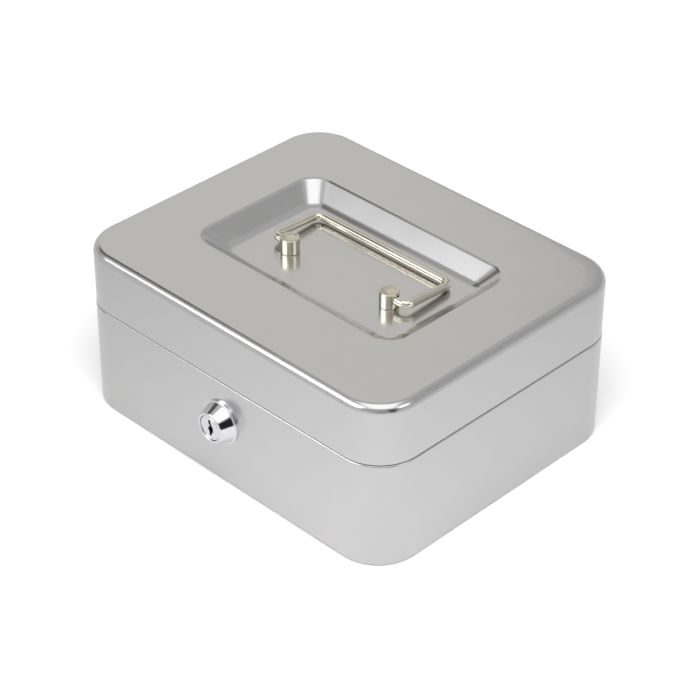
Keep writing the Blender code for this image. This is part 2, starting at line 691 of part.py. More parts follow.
def make_strike(surface):
    """A folded bracket welded inside the lid's front wall, with a notched tongue hanging behind it."""
    front = FRONT_Y + LID_INSET + SHEET + FIT_GAP
    tongue_front = CAM_FRONT_Y - TONGUE_GAP
    sheet = STRIKE_SHEET
    outline = [(front, STRIKE_FLANGE_HEAD), (front, STRIKE_WEB_HEIGHT), (tongue_front, STRIKE_WEB_HEIGHT),
               (tongue_front, TONGUE_FOOT), (tongue_front + sheet, TONGUE_FOOT),
               (tongue_front + sheet, STRIKE_WEB_HEIGHT + sheet), (front + sheet, STRIKE_WEB_HEIGHT + sheet),
               (front + sheet, STRIKE_FLANGE_HEAD)]
    half = STRIKE_FLANGE_WIDTH / 2
    strike = extruded("lid_strike", outline, "X", -half, half, surface)
    near, far = tongue_front - CUTTER_MARGIN, tongue_front + sheet + CUTTER_MARGIN
    below, above = TONGUE_FOOT - CUTTER_MARGIN, STRIKE_WEB_HEIGHT - CUTTER_MARGIN
    side = half + CUTTER_MARGIN
    notch_left = TONGUE_LEFT - CUTTER_MARGIN
    trims = {"strike_trim_left": ((-side, near, below), (TONGUE_LEFT, far, above)),
             "strike_trim_right": ((TONGUE_RIGHT, near, below), (side, far, above)),
             "strike_notch": ((notch_left, near, NOTCH_FOOT), (NOTCH_RIGHT, far, NOTCH_HEAD))}
    for name, (low, high) in trims.items():
        combine(strike, as_tool(block(name, low, high)))
    return strike


# Coin tray

def tray_level(grow, radius, height):
    half_y = (TRAY_BACK - TRAY_FRONT) / 2
    outline = rounded_outline(TRAY_WIDTH / 2 + grow, half_y + grow, radius, (TRAY_BACK + TRAY_FRONT) / 2)
    return outline, height


def hollow(name, left, right, front, back, radius):
    """The space of a compartment: straight walls, round corners and a rounded floor edge."""
    floor = TRAY_FOOT + TRAY_WALL
    fold = CUP_FOOT_RADIUS
    levels = []
    for inset, up in arc((fold, fold), fold, 270, 180, 4):
        outline = rounded_outline((right - left) / 2 - inset, (back - front) / 2 - inset,
                                  radius - inset, (front + back) / 2, CUP_CORNER_STEPS)
        levels.append((outline, floor + up))
    levels.append((levels[-1][0], RIM_SEAT + TRAY_FLANGE_SHEET + CUTTER_MARGIN))
    shift = (left + right) / 2
    levels = [([(x + shift, y) for x, y in outline], height) for outline, height in levels]
    return as_tool(stacked(name, levels))


def make_grip():
    """The upright lifting tab on the tray's divider, with its finger hole."""
    half, radius = GRIP_WIDTH / 2, GRIP_CORNER_RADIUS
    low = RIM_SEAT - GRIP_ROOT
    outline = [(-half, low), (half, low)] + arc((half - radius, GRIP_TOP - radius), radius, 0, 90, 5)
    outline += arc((-half + radius, GRIP_TOP - radius), radius, 90, 180, 5)
    thin = TRAY_DIVIDER / 2 - GRIP_STEP
    grip = as_tool(extruded("tray_grip", outline, "Y", TRAY_DIVIDER_Y - thin, TRAY_DIVIDER_Y + thin))
    hole, spread = GRIP_HOLE_RADIUS, GRIP_HOLE_SPREAD / 2
    middle = (RIM_SEAT + TRAY_FLANGE_SHEET + GRIP_TOP) / 2
    slot = arc((spread, middle), hole, -90, 90, 6) + arc((-spread, middle), hole, 90, 270, 6)
    front, back = TRAY_DIVIDER_Y - TRAY_DIVIDER, TRAY_DIVIDER_Y + TRAY_DIVIDER
    window = extruded("tray_grip_window", slot, "Y", front, back)
    combine(grip, as_tool(window))
    return grip


def make_coin_tray(surface):
    flange_radius = CORNER_RADIUS - RIM_INSET - TRAY_RIM_PLAY
    edge = TRAY_FOOT_EDGE
    levels = [tray_level(-edge, TRAY_CORNER_RADIUS - edge, TRAY_FOOT),
              tray_level(0, TRAY_CORNER_RADIUS, TRAY_FOOT + edge),
              tray_level(0, TRAY_CORNER_RADIUS, RIM_SEAT),
              tray_level(TRAY_FLANGE, flange_radius, RIM_SEAT),
              tray_level(TRAY_FLANGE, flange_radius, RIM_SEAT + TRAY_FLANGE_SHEET)]
    tray = stacked("coin_tray", levels, surface)
    half_width = TRAY_WIDTH / 2 - TRAY_WALL
    front, back = TRAY_FRONT + TRAY_WALL, TRAY_BACK - TRAY_WALL
    low_divide, high_divide = TRAY_DIVIDER_Y - TRAY_DIVIDER / 2, TRAY_DIVIDER_Y + TRAY_DIVIDER / 2
    inside = hollow("tray_inside", -half_width, half_width, front, back, TRAY_CORNER_RADIUS - TRAY_WALL)
    cup = (2 * half_width - (CUP_COUNT - 1) * TRAY_WALL) / CUP_COUNT
    cups = [(-half_width + index * (cup + TRAY_WALL), front, cup, low_divide) for index in range(CUP_COUNT)]
    cups.append((-half_width, high_divide, 2 * half_width, back))
    for index, (left, near, width, far) in enumerate(cups):
        space = hollow(f"cup_{index + 1}", left, left + width, near, far, CUP_CORNER_RADIUS)
        combine(space, inside, "INTERSECT")
        combine(tray, space)
    combine(tray, make_grip(), "UNION")
    return tray


# Assembly

def main():
    clear_scene()
    silver = material("silver lacquered steel", (0.50, 0.50, 0.49), 0.55, 0.34)
    zinc = material("zinc plated steel", (0.56, 0.57, 0.57), 1.0, 0.35)
    nickel = material("warm nickel", (0.66, 0.61, 0.52), 1.0, 0.15)
    chrome = material("bright chrome", (0.80, 0.80, 0.81), 1.0, 0.06)
    brass = material("wafer brass", (0.70, 0.52, 0.24), 1.0, 0.30)
    plastic = material("black plastic", (0.03, 0.03, 0.032), 0.0, 0.45)

    hinge_axis = axis_empty("lid_hinge_axis", HINGE_AXIS)
    handle_axis = axis_empty("handle_axis", HANDLE_AXIS)
    lock_axis = axis_empty("lock_axis", LOCK_AXIS)

    rivet_xs = [middle + step for middle in HINGE_MIDDLES.values()
                for step in (-RIVET_SPREAD / 2, RIVET_SPREAD / 2)]
    rivet_places = [Vector((x, BACK_Y - SHEET, z)) for z in (BODY_RIVET_HEIGHT, LID_RIVET_HEIGHT)
                    for x in rivet_xs]
    rivet_drill = drills("rivet_drill", rivet_places, Vector((0, 1, 0)), RIVET_HOLE_RADIUS, DRILL_LENGTH)

    body = make_box_body(silver)
    lid = make_lid_shell(silver)
    body_notches, lid_notches = make_hinge_notches()
    for notch in body_notches:
        combine(body, notch)
    for notch in lid_notches:
        combine(lid, notch)
    combine(body, rivet_drill)
    combine(lid, rivet_drill)
    combine(body, drills("lock_hole", [LOCK_AXIS + Vector((0, SHEET / 2, 0))], Vector((0, 1, 0)),
                         BARREL_HOLE_RADIUS, SHEET + 2 * CUTTER_MARGIN, 32))
    post_xs = {"left": -POST_SPREAD / 2, "right": POST_SPREAD / 2}
    combine(lid, drills("post_holes", [Vector((x, POST_Y, RECESS_FLOOR)) for x in post_xs.values()],
                        Vector((0, 0, 1)), SCREW_BORE_RADIUS + TIP_GAP, 2 * SHEET + 2 * CUTTER_MARGIN))

    on_lid = [lid, make_strike(zinc)]
    for side, middle in HINGE_MIDDLES.items():
        body_leaf, lid_leaf = make_hinge(side, middle, zinc, rivet_drill)
        make_hinge_pin(side, middle, zinc)
        on_lid.append(lid_leaf)
    for index, x in enumerate(rivet_xs):
        make_rivet(f"body_rivet_{index + 1}", x, BODY_RIVET_HEIGHT, BACK_Y,
                   BACK_Y - SHEET - FIT_GAP - LEAF_SHEET, zinc)
        on_lid.append(make_rivet(f"lid_rivet_{index + 1}", x, LID_RIVET_HEIGHT, BACK_Y - LID_INSET,
                                 BACK_Y - LID_INSET - SHEET - FIT_GAP - LEAF_SHEET, zinc))
    for side, x in post_xs.items():
        on_lid.append(make_post(side, x, nickel))
        on_lid.append(make_post_washer(side, x, zinc))
        on_lid.append(make_post_screw(side, x, zinc))
    hang(on_lid, hinge_axis)

    handle = make_carry_handle(nickel)
    handle.parent = handle_axis
    handle_axis.parent = hinge_axis
    handle_axis.location = HANDLE_AXIS - HINGE_AXIS

    make_lock_housing(chrome)
    make_lock_nut(zinc)
    turning = [make_lock_plug(chrome, make_keyway()), make_lock_cam(zinc), make_cam_screw(zinc)]
    turning += [make_wafer(index, place, brass) for index, place in enumerate(wafer_places())]
    hang(turning, lock_axis)

    make_coin_tray(plastic)


main()
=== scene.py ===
"""Looks of a lockable steel cash box: lacquered case and lid, nickel wire handle, chrome lock and coin tray.

Lengths are metres, +Z is up, +X runs to the right along the front, and the lock is on the -Y side.
"""

import json
import math

import bmesh
import bpy
from mathutils import Matrix, Vector

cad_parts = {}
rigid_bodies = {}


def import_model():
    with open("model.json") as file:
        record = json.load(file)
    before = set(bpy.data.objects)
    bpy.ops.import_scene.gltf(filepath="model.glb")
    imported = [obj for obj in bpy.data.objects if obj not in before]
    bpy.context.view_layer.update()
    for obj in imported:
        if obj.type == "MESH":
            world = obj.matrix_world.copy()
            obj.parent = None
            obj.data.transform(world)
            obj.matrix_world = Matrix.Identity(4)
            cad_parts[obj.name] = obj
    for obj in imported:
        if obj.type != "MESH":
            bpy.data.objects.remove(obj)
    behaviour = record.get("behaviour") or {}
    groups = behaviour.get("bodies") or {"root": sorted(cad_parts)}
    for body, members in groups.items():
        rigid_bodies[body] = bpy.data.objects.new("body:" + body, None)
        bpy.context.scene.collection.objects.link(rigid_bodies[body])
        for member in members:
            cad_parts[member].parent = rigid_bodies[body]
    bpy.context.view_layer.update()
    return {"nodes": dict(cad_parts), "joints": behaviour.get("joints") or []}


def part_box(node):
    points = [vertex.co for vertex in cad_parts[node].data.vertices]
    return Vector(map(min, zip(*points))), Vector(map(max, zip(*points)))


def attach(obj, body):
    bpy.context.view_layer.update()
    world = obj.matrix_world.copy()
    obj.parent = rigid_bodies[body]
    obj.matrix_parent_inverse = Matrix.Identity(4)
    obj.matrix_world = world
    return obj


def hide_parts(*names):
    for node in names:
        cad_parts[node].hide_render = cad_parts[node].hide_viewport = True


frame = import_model()

MM = 0.001
X_AXIS = Vector((1, 0, 0))
Y_AXIS = Vector((0, 1, 0))
Z_AXIS = Vector((0, 0, 1))

# Sheet metal
SHEET = 1.0 * MM
CORNER_RADIUS = 22 * MM
CORNER_STEPS = 22
FIT_GAP = 0.3 * MM
LID_INSET = 0.2 * MM
HEM_RADIUS = 0.35 * MM
LIP_RADIUS = 0.8 * MM
BASE_EDGE_RADIUS = 1.5 * MM
CROWN_RADIUS = 4 * MM
INSIDE_FOLD_RADIUS = 2 * MM
RIM_INSET = 1.6 * MM

# The lid's top falls away a little before its crown
DOME_START = 10.2 * MM
DOME_END = 4.2 * MM
DOME_DROP = 0.08 * MM
DOME_STEPS = 5
CROWN_DROP = DOME_DROP * (1 + 2 * DOME_END / (DOME_START - DOME_END))

# Hand recess in the lid
RECESS_WIDTH = 129.4 * MM
RECESS_DEPTH = 81 * MM
RECESS_DROP = 9.5 * MM
RECESS_SLOPE = 10.3 * MM
RECESS_CENTRE_Y = 2 * MM
RECESS_CORNER_RADIUS = 11.5 * MM
MOUTH_FOLD = 1.4 * MM
FLOOR_FOLD = 3.2 * MM

# Places taken from the frame
BODY_LOW, BODY_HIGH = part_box("box_body")
LID_LOW, LID_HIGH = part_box("lid_shell")
HALF_WIDTH = BODY_HIGH.x
HALF_DEPTH = BODY_HIGH.y
FRONT_Y = BODY_LOW.y
BACK_Y = BODY_HIGH.y
SEAM = LID_LOW.z
LEDGE = SEAM - 0.4 * MM
RIM_TOP = BODY_HIGH.z
TOP = LID_HIGH.z
RECESS_FLOOR = TOP - RECESS_DROP


def centre_of(node):
    low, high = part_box(node)
    return (low + high) / 2


# Shapes

STOREY = 20 * MM
MERGE_DISTANCE = 0.002 * MM


def collection():
    return bpy.context.scene.collection.objects


def solid(name, bm):
    """An object from a closed bmesh, with its faces turned outwards."""
    bmesh.ops.remove_doubles(bm, verts=bm.verts, dist=MERGE_DISTANCE)
    bmesh.ops.recalc_face_normals(bm, faces=bm.faces)
    mesh = bpy.data.meshes.new(name)
    bm.to_mesh(mesh)
    bm.free()
    made = bpy.data.objects.new(name, mesh)
    collection().link(made)
    return made


def flat_outline(bm, half_x, half_y, radius, height, middle_y=0.0):
    """A rounded rectangular face lying flat at a height."""
    known = set(bm.faces)
    verts = bmesh.ops.create_grid(bm, x_segments=1, y_segments=1, size=1)["verts"]
    bmesh.ops.scale(bm, verts=verts, vec=(half_x, half_y, 1))
    bmesh.ops.translate(bm, verts=verts, vec=(0, middle_y, height))
    bmesh.ops.bevel(bm, geom=verts, offset=radius, offset_type="OFFSET", affect="VERTICES",
                    segments=CORNER_STEPS, profile=0.5, material=-1)
    return next(face for face in bm.faces if face not in known)


def bridged(bm, outlines):
    """Bridges flat outlines into one closed skin, and gives back the edges of each.

    The outlines are bridged as a tall tower, where each one's nearest neighbour is plain, and then
    brought to their own heights.
    """
    faces = [flat_outline(bm, *outline) for outline in outlines]
    loops = [list(face.edges) for face in faces]
    rings = [list(face.verts) for face in faces]
    heights = [outline[3] for outline in outlines]
    for level, (ring, height) in enumerate(zip(rings, heights)):
        bmesh.ops.translate(bm, verts=ring, vec=(0, 0, level * STOREY - height))
    bmesh.ops.delete(bm, geom=faces[1:-1], context="FACES_ONLY")
    for near, far in zip(loops, loops[1:]):
        bmesh.ops.bridge_loops(bm, edges=near + far)
    for level, (ring, height) in enumerate(zip(rings, heights)):
        bmesh.ops.translate(bm, verts=ring, vec=(0, 0, height - level * STOREY))
    return loops


def round_over(bm, edges, width, steps=4):
    bmesh.ops.bevel(bm, geom=edges, offset=width, offset_type="OFFSET", affect="EDGES",
                    segments=steps, profile=0.5, material=-1)


def case_level(inset, height):
    return HALF_WIDTH - inset, HALF_DEPTH - inset, CORNER_RADIUS - inset, height


def recess_level(inset, height):
    return (RECESS_WIDTH / 2 - inset, RECESS_DEPTH / 2 - inset, RECESS_CORNER_RADIUS - inset / 2,
            height, RECESS_CENTRE_Y)


def new_verts(grown):
    return [part for part in grown if isinstance(part, bmesh.types.BMVert)]


def plate(name, points, front, back):
    """An upright outline of (x, z) points, grown backwards into a plate."""
    bm = bmesh.new()
    face = bm.faces.new([bm.verts.new((x, front, z)) for x, z in points])
    grown = bmesh.ops.extrude_face_region(bm, geom=[face])["geom"]
    bmesh.ops.translate(bm, verts=new_verts(grown), vec=Y_AXIS * (back - front))
    return solid(name, bm)


def block(name, low, high):
    low, high = Vector(low), Vector(high)
    bm = bmesh.new()
    bmesh.ops.create_cube(bm, size=1)
    bmesh.ops.scale(bm, verts=bm.verts, vec=high - low)
    bmesh.ops.translate(bm, verts=bm.verts, vec=(low + high) / 2)
    return solid(name, bm)


def turned(name, profile, centre, axis, steps=72):
    """Spins (radius, distance along the axis) points into a round piece."""
    bm = bmesh.new()
    across = X_AXIS if abs(axis.z) > 0.5 else Z_AXIS
    verts = [bm.verts.new(centre + across * radius + axis * along) for radius, along in profile]
    edges = [bm.edges.new(pair) for pair in zip(verts, verts[1:])]
    if profile[0][0] > 0:
        edges.append(bm.edges.new((verts[-1], verts[0])))
    bmesh.ops.spin(bm, geom=verts + edges, cent=centre, axis=axis, angle=math.tau, steps=steps,
                   use_merge=True)
    return solid(name, bm)


def bars(name, places, axis, radius, length, steps=48):
    """Round bars centred on places, to drill with."""
    bm = bmesh.new()
    turn = Z_AXIS.rotation_difference(axis).to_matrix().to_4x4()
    for place in places:
        bmesh.ops.create_cone(bm, segments=steps, radius1=radius, radius2=radius, depth=length,
                              cap_ends=True, matrix=Matrix.Translation(place) @ turn)
    return solid(name, bm)


def arc(centre, radius, start, end, steps):
    """Points on an arc between two angles in degrees."""
    angles = [math.radians(start + (end - start) * step / steps) for step in range(steps + 1)]
    return [(centre[0] + radius * math.cos(a), centre[1] + radius * math.sin(a)) for a in angles]


def settle(piece):
    """Makes a piece's modifiers part of its mesh, and removes the tools that cut it."""
    graph = bpy.context.evaluated_depsgraph_get()
    mesh = bpy.data.meshes.new_from_object(piece.evaluated_get(graph))
    tools = {step.object for step in piece.modifiers if step.type == "BOOLEAN"}
    piece.modifiers.clear()
    piece.data = mesh
    for tool in tools:
        bpy.data.objects.remove(tool)
    return piece


def combine(piece, operation, *tools):
    """Cuts tools away from a piece, or joins them to it."""
    for tool in tools:
        step = piece.modifiers.new(tool.name, "BOOLEAN")
        step.object = tool
        step.operation = operation
        step.solver = "EXACT"
    return settle(piece)


def soften(piece, width, steps=3, sharper_than=30):
    """Rounds every edge sharper than an angle."""
    step = piece.modifiers.new("soft edges", "BEVEL")
    step.width = width
    step.segments = steps
    step.limit_method = "ANGLE"
    step.angle_limit = math.radians(sharper_than)
    step.miter_outer = "MITER_ARC"
    return settle(piece)


def dress(piece, finish, body, slot, *nodes, sharp=40):
    """Shades a piece, gives it its finish and lets it ride on its body in place of its nodes."""
    piece.data.shade_smooth()
    piece.data.set_sharp_from_angle(angle=math.radians(sharp))
    piece.data.materials.clear()
    piece.data.materials.append(finish)
    flatten = piece.modifiers.new("even shading", "WEIGHTED_NORMAL")
    flatten.keep_sharp = True
    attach(piece, body)
    if nodes:
        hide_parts(*nodes)
    return piece


# Finishes

class Finish:
    """A Principled material under construction, with its patterns in object coordinates."""

    def __init__(self, name, colour, metallic, roughness):
        self.material = bpy.data.materials.new(name)
        self.material.use_nodes = True
        self.tree = self.material.node_tree
        self.shader = self.tree.nodes["Principled BSDF"]
        self.set("Base Color", (*colour, 1))
        self.set("Metallic", metallic)
        self.set("Roughness", roughness)
        self.place = self.tree.nodes.new("ShaderNodeTexCoord")
        self.height = None

    def set(self, socket, value):
        self.shader.inputs[socket].default_value = value

    def add(self, kind, **settings):
        node = self.tree.nodes.new(kind)
        for name, value in settings.items():
            if name in node.inputs:
                node.inputs[name].default_value = value
            else:
                setattr(node, name, value)
        return node

    def join(self, output, socket):
        self.tree.links.new(output, socket)

    def noise(self, size, detail=2.0, stretch=(1, 1, 1), distortion=0.0):
        """Cloudy noise whose patches are about size across, drawn out along an axis by stretch."""
        mapping = self.add("ShaderNodeMapping")
        mapping.inputs["Scale"].default_value = tuple(1 / (size * s) for s in stretch)
        texture = self.add("ShaderNodeTexNoise", Scale=1.0, Detail=detail, Distortion=distortion)
        self.join(self.place.outputs["Object"], mapping.inputs["Vector"])
        self.join(mapping.outputs["Vector"], texture.inputs["Vector"])
        return texture.outputs["Fac"]

    def ranged(self, value, low, high, start=0.3, end=0.7):
        node = self.add("ShaderNodeMapRange")
        for name, number in (("From Min", start), ("From Max", end), ("To Min", low), ("To Max", high)):
            node.inputs[name].default_value = number
        self.join(value, node.inputs["Value"])
        return node.outputs["Result"]

    def vary_roughness(self, value, low, high, start=0.3, end=0.7):
        self.join(self.ranged(value, low, high, start, end), self.shader.inputs["Roughness"])

    def vary_colour(self, value, dark, light, start=0.3, end=0.7):
        ramp = self.add("ShaderNodeValToRGB")
        ramp.color_ramp.elements[0].position = start
        ramp.color_ramp.elements[0].color = (*dark, 1)
        ramp.color_ramp.elements[1].position = end
        ramp.color_ramp.elements[1].color = (*light, 1)
        self.join(value, ramp.inputs["Fac"])
        self.join(ramp.outputs["Color"], self.shader.inputs["Base Color"])

    def relief(self, value, height):
        """Adds a bump as high as height, on top of those already there."""
        bump = self.add("ShaderNodeBump", Strength=1.0, Distance=height)
        self.join(value, bump.inputs["Height"])
        if self.height:
            self.join(self.height, bump.inputs["Normal"])
        self.height = bump.outputs["Normal"]
        self.join(self.height, self.shader.inputs["Normal"])


def shade_of(colour, factor):
    return tuple(channel * factor for channel in colour)


def silver_lacquer():
    """Metallic lacquer: fine flakes under a clear, slightly rippled coat."""
    silver = (0.605, 0.597, 0.592)
    made = Finish("silver_lacquer", silver, 1.0, 0.24)
    flakes = made.noise(0.25 * MM, 1.0)
    made.vary_colour(flakes, shade_of(silver, 0.95), shade_of(silver, 1.04))
    made.vary_roughness(made.noise(18 * MM, 3.0), 0.22, 0.26)
    made.relief(made.noise(0.5 * MM, 2.0), 0.0014 * MM)
    made.relief(made.noise(5 * MM, 2.0), 0.004 * MM)
    made.set("Coat Weight", 1.0)
    made.set("Coat Roughness", 0.03)
    made.set("Coat IOR", 1.75)
    return made.material


def warm_nickel():
    nickel = (0.76, 0.71, 0.61)
    made = Finish("warm_nickel", nickel, 1.0, 0.06)
    made.vary_roughness(made.noise(3 * MM, 4.0), 0.025, 0.06)
    made.vary_colour(made.noise(9 * MM, 2.0), shade_of(nickel, 0.96), shade_of(nickel, 1.03))
    made.relief(made.noise(1.4 * MM, 2.0), 0.0015 * MM)
    return made.material


def brushed_nickel():
    """Nickel drawn with fine upright brush lines."""
    nickel = (0.74, 0.69, 0.57)
    made = Finish("brushed_nickel", nickel, 1.0, 0.22)
    lines = made.noise(0.16 * MM, 2.0, stretch=(1, 1, 60))
    made.vary_colour(lines, shade_of(nickel, 0.88), shade_of(nickel, 1.05))
    made.vary_roughness(made.noise(2 * MM, 3.0), 0.18, 0.28)
    made.relief(lines, 0.004 * MM)
    return made.material


def bright_chrome():
    chrome = (0.80, 0.80, 0.82)
    made = Finish("bright_chrome", chrome, 1.0, 0.05)
    made.vary_roughness(made.noise(3.5 * MM, 5.0, distortion=0.6), 0.03, 0.09)
    made.relief(made.noise(2.5 * MM, 1.0), 0.001 * MM)
    return made.material


def zinc_plate():
    """Mottled bright zinc, with a faint yellow and blue bloom."""
    made = Finish("zinc_plate", (0.60, 0.61, 0.62), 1.0, 0.34)
    bloom = made.noise(4 * MM, 4.0, distortion=0.4)
    made.vary_colour(bloom, (0.55, 0.57, 0.61), (0.66, 0.65, 0.60))
    made.vary_roughness(made.noise(1.2 * MM, 5.0), 0.26, 0.44)
    made.relief(made.noise(0.35 * MM, 2.0), 0.004 * MM)
    return made.material


def wafer_brass():
    made = Finish("wafer_brass", (0.70, 0.52, 0.24), 1.0, 0.30)
    scratches = made.noise(0.12 * MM, 2.0, stretch=(1, 1, 25))
    made.vary_colour(scratches, (0.60, 0.44, 0.19), (0.76, 0.58, 0.29))
    made.vary_roughness(scratches, 0.24, 0.38)
    made.relief(scratches, 0.003 * MM)
    return made.material


def black_plastic():
    """Moulded plastic with a fine spark-eroded grain."""
    made = Finish("black_plastic", (0.022, 0.022, 0.024), 0.0, 0.45)
    grain = made.noise(0.45 * MM, 3.0)
    made.relief(grain, 0.03 * MM)
    made.vary_roughness(made.noise(15 * MM, 4.0), 0.38, 0.52)
    made.vary_colour(made.noise(20 * MM, 2.0), (0.018, 0.018, 0.020), (0.028, 0.028, 0.030))
    return made.material


# Case and lid

NOTCH_HALF_WIDTH = 21.4 * MM
NOTCH_REACH = 4 * MM
NOTCH_BELOW_PIN = 2.6 * MM
NOTCH_ABOVE_PIN = 2.5 * MM
OVERCUT = 1 * MM
RIVET_HOLE_RADIUS = 1.3 * MM
RIVET_HOLE_LENGTH = 8 * MM
LOCK_HOLE_RADIUS = 7.7 * MM
LOCK_HOLE_LENGTH = 6 * MM
POST_HOLE_RADIUS = 1.55 * MM
POST_HOLE_LENGTH = 4 * MM


def notch_box(name, middle, below, above):
    """A tool that opens the rear wall for a hinge's knuckles."""
    low = (middle - NOTCH_HALF_WIDTH, BACK_Y - NOTCH_REACH, below)
    high = (middle + NOTCH_HALF_WIDTH, BACK_Y + 2 * OVERCUT, above)
    return block(name, low, high)


def hinge_middles():
    return [centre_of("hinge_pin_left").x, centre_of("hinge_pin_right").x]


def rivet_drill(name, prefix):
    places = [centre_of(f"{prefix}_{index}") for index in range(1, 5)]
    return bars(name, places, Y_AXIS, RIVET_HOLE_RADIUS, RIVET_HOLE_LENGTH, 32)


def make_case_body(finish):
    """A deep tub whose rim is joggled inwards to stand inside the lid."""
    bm = bmesh.new()
    inner_ledge = LEDGE - SHEET
    loops = bridged(bm, [
        case_level(0, 0), case_level(0, LEDGE), case_level(RIM_INSET, LEDGE),
        case_level(RIM_INSET, RIM_TOP), case_level(RIM_INSET + SHEET, RIM_TOP),
        case_level(RIM_INSET + SHEET, inner_ledge), case_level(SHEET, inner_ledge),
        case_level(SHEET, SHEET)])
    foot, lip, joggle, rim_out, rim_in, joggle_in, _, floor = loops
    round_over(bm, foot, BASE_EDGE_RADIUS, 5)
    round_over(bm, lip, LIP_RADIUS, 5)
    round_over(bm, joggle + rim_out + rim_in + joggle_in, HEM_RADIUS, 3)
    round_over(bm, floor, INSIDE_FOLD_RADIUS, 4)
    body = solid("case_body", bm)
    pin = centre_of("hinge_pin_left").z
    notches = [notch_box(f"body_notch_{i}", middle, pin - NOTCH_BELOW_PIN, RIM_TOP + 2 * OVERCUT)
               for i, middle in enumerate(hinge_middles())]
    hole = bars("lock_hole", [lock_axis()], Y_AXIS, LOCK_HOLE_RADIUS, LOCK_HOLE_LENGTH, 64)
    combine(body, "DIFFERENCE", hole, rivet_drill("body_rivet_drill", "body_rivet"), *notches)
    return dress(body, finish, "box", "silver_lacquer", "box_body")


def make_lid(finish):
    """A shallow pressing with a rounded crown and a sloping hand recess."""
    bm = bmesh.new()
    turn = math.atan2(RECESS_DROP, RECESS_SLOPE)
    thicker = SHEET * math.tan(turn / 2)
    ceiling = TOP - SHEET
    dome = []
    for step in range(DOME_STEPS + 1):
        share = step / DOME_STEPS
        inset = LID_INSET + DOME_START + (DOME_END - DOME_START) * share
        dome.append(case_level(inset, TOP - DOME_DROP * share * share))
    loops = bridged(bm, [
        recess_level(RECESS_SLOPE, RECESS_FLOOR), recess_level(0, TOP), *dome,
        case_level(LID_INSET, TOP - CROWN_DROP), case_level(LID_INSET, SEAM),
        case_level(LID_INSET + SHEET, SEAM), case_level(LID_INSET + SHEET, ceiling - CROWN_DROP),
        case_level(LID_INSET + DOME_START, ceiling), recess_level(-thicker, ceiling),
        recess_level(RECESS_SLOPE - thicker, RECESS_FLOOR - SHEET)])
    floor, mouth = loops[:2]
    crown, hem_out, hem_in, crown_in = loops[DOME_STEPS + 3:DOME_STEPS + 7]
    mouth_in, floor_in = loops[-2:]
    round_over(bm, crown, CROWN_RADIUS, 10)
    round_over(bm, crown_in, CROWN_RADIUS - SHEET, 6)
    round_over(bm, floor, FLOOR_FOLD, 6)
    round_over(bm, mouth, MOUTH_FOLD, 5)
    round_over(bm, floor_in, FLOOR_FOLD, 4)
    round_over(bm, mouth_in, MOUTH_FOLD / 2, 3)
    round_over(bm, hem_out + hem_in, HEM_RADIUS, 3)
    lid = solid("lid_pressing", bm)
    pin = centre_of("hinge_pin_left").z
    notches = [notch_box(f"lid_notch_{i}", middle, SEAM - OVERCUT, pin + NOTCH_ABOVE_PIN)
               for i, middle in enumerate(hinge_middles())]
    posts = [centre_of(f"handle_post_{side}") for side in ("left", "right")]
    feet = [Vector((post.x, post.y, RECESS_FLOOR)) for post in posts]
    holes = bars("post_holes", feet, Z_AXIS, POST_HOLE_RADIUS, POST_HOLE_LENGTH, 32)
    combine(lid, "DIFFERENCE", holes, rivet_drill("lid_rivet_drill", "lid_rivet"), *notches)
    return dress(lid, finish, "lid", "silver_lacquer", "lid_shell")


# Handle

WIRE_RADIUS = 2.0 * MM
WIRE_BORE_RADIUS = 2.2 * MM
WIRE_BEND_RADIUS = 4.0 * MM
WIRE_BEND_STEPS = 12
WIRE_END = 2 * MM
WIRE_EDGE = 0.25 * MM
POST_RADIUS = 4.7 * MM
POST_LIFT = 0.02 * MM
POST_FOOT_EDGE = 0.45 * MM
POST_TOP_EDGE = 0.4 * MM
POST_DISH = 0.9 * MM
DISH_STEPS = 8
THREAD_RADIUS = 1.45 * MM
POST_THREAD_MIDDLE = 1.6 * MM
POST_THREAD_LENGTH = 8.8 * MM


def handle_pivot():
    return Vector(next(joint for joint in frame["joints"] if joint["name"] == "handle_pivot")["pos_m"])


def ring_along(bm, ring, move):
    """Extrudes an open tube's end ring by a move, and gives back the new ring."""
    grown = bmesh.ops.extrude_edge_only(bm, edges=ring)["geom"]
    bmesh.ops.translate(bm, verts=new_verts(grown), vec=move)
    return [part for part in grown if isinstance(part, bmesh.types.BMEdge)
            and len(part.link_faces) < 2 and part not in ring]


def ring_round(bm, ring, centre):
    """Bends an open tube's end ring a quarter turn about an upright axis, and gives back the new ring."""
    spun = bmesh.ops.spin(bm, geom=ring, cent=centre, axis=Z_AXIS, angle=math.pi / 2, steps=WIRE_BEND_STEPS)
    return [part for part in spun["geom_last"] if isinstance(part, bmesh.types.BMEdge)]


